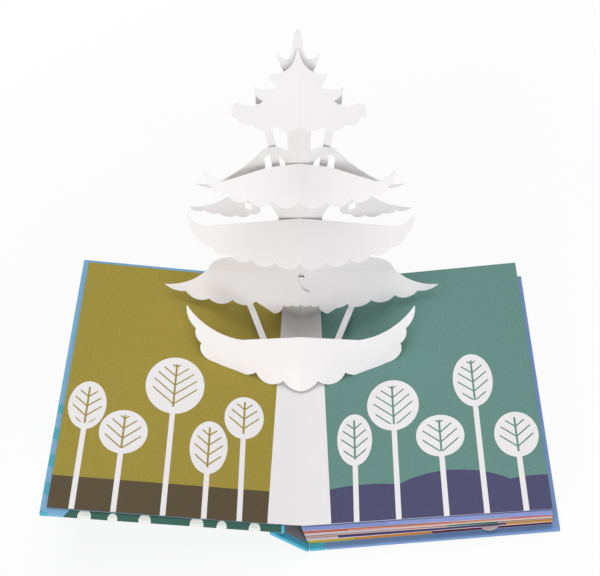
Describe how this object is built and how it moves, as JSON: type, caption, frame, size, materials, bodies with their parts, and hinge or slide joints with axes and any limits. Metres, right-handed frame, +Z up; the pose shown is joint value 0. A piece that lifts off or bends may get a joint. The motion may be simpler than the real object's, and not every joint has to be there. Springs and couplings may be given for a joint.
{
  "type": "pop-up book",
  "caption": "Hard-cover pop-up book open on its back cover, with a tiered white paper fir tree standing in the gutter and a front cover and spine that lie back flat.",
  "frame": {"origin": "on the underside of the back cover, under the middle of the open book's width, at half its height", "axes": "+X along the lines of a page towards the right-hand fore-edge, +Y towards the head of the pages, +Z up from the table"},
  "size_m": [0.3806, 0.25, 0.3399],
  "materials": {
    "cover_wrap": "matt printed paper over board",
    "spine_wrap": "matt printed paper over board",
    "endpaper": "matt",
    "lining": "matt",
    "leaves": "matt, coloured edges",
    "printed_spread": "matt print, two page colours",
    "white_card": "matt"
  },
  "bodies": {
    "pages": {"back_cover": "cover_wrap", "back_joint": "spine_wrap", "back_endpaper": "endpaper", "page_block": "leaves", "open_spread": "printed_spread", "trunk": "white_card", "treetop_front": "white_card", "treetop_rear": "white_card", "upper_bough_front": "white_card", "upper_bough_rear": "white_card", "middle_bough_front": "white_card", "middle_bough_rear": "white_card", "lower_bough_front": "white_card", "lower_collar": "white_card", "base_bough": "white_card", "base_fold": "white_card", "lower_strut_left": "white_card", "lower_strut_right": "white_card", "upper_strut_left": "white_card", "upper_strut_right": "white_card"},
    "spine": {"spine": "spine_wrap", "spine_lining": "lining"},
    "front_cover": {"front_cover": "cover_wrap", "front_joint": "spine_wrap", "front_endpaper": "endpaper"}
  },
  "joints": [
    {"name": "spine_hinge", "type": "hinge", "parent": "pages", "child": "spine", "pos_m": [-0.098, 0, 0.00175], "axis": [0, -1, 0], "range_deg": [0, 57]},
    {"name": "front_cover_hinge", "type": "hinge", "parent": "spine", "child": "front_cover", "pos_m": [-0.11897, 0, 0.03404], "axis": [0, 1, 0], "range_deg": [0, 36.7]}
  ],
  "couplings": [
    {"joint": "front_cover_hinge", "follows": "spine_hinge", "ratio": 0.64368}
  ]
}
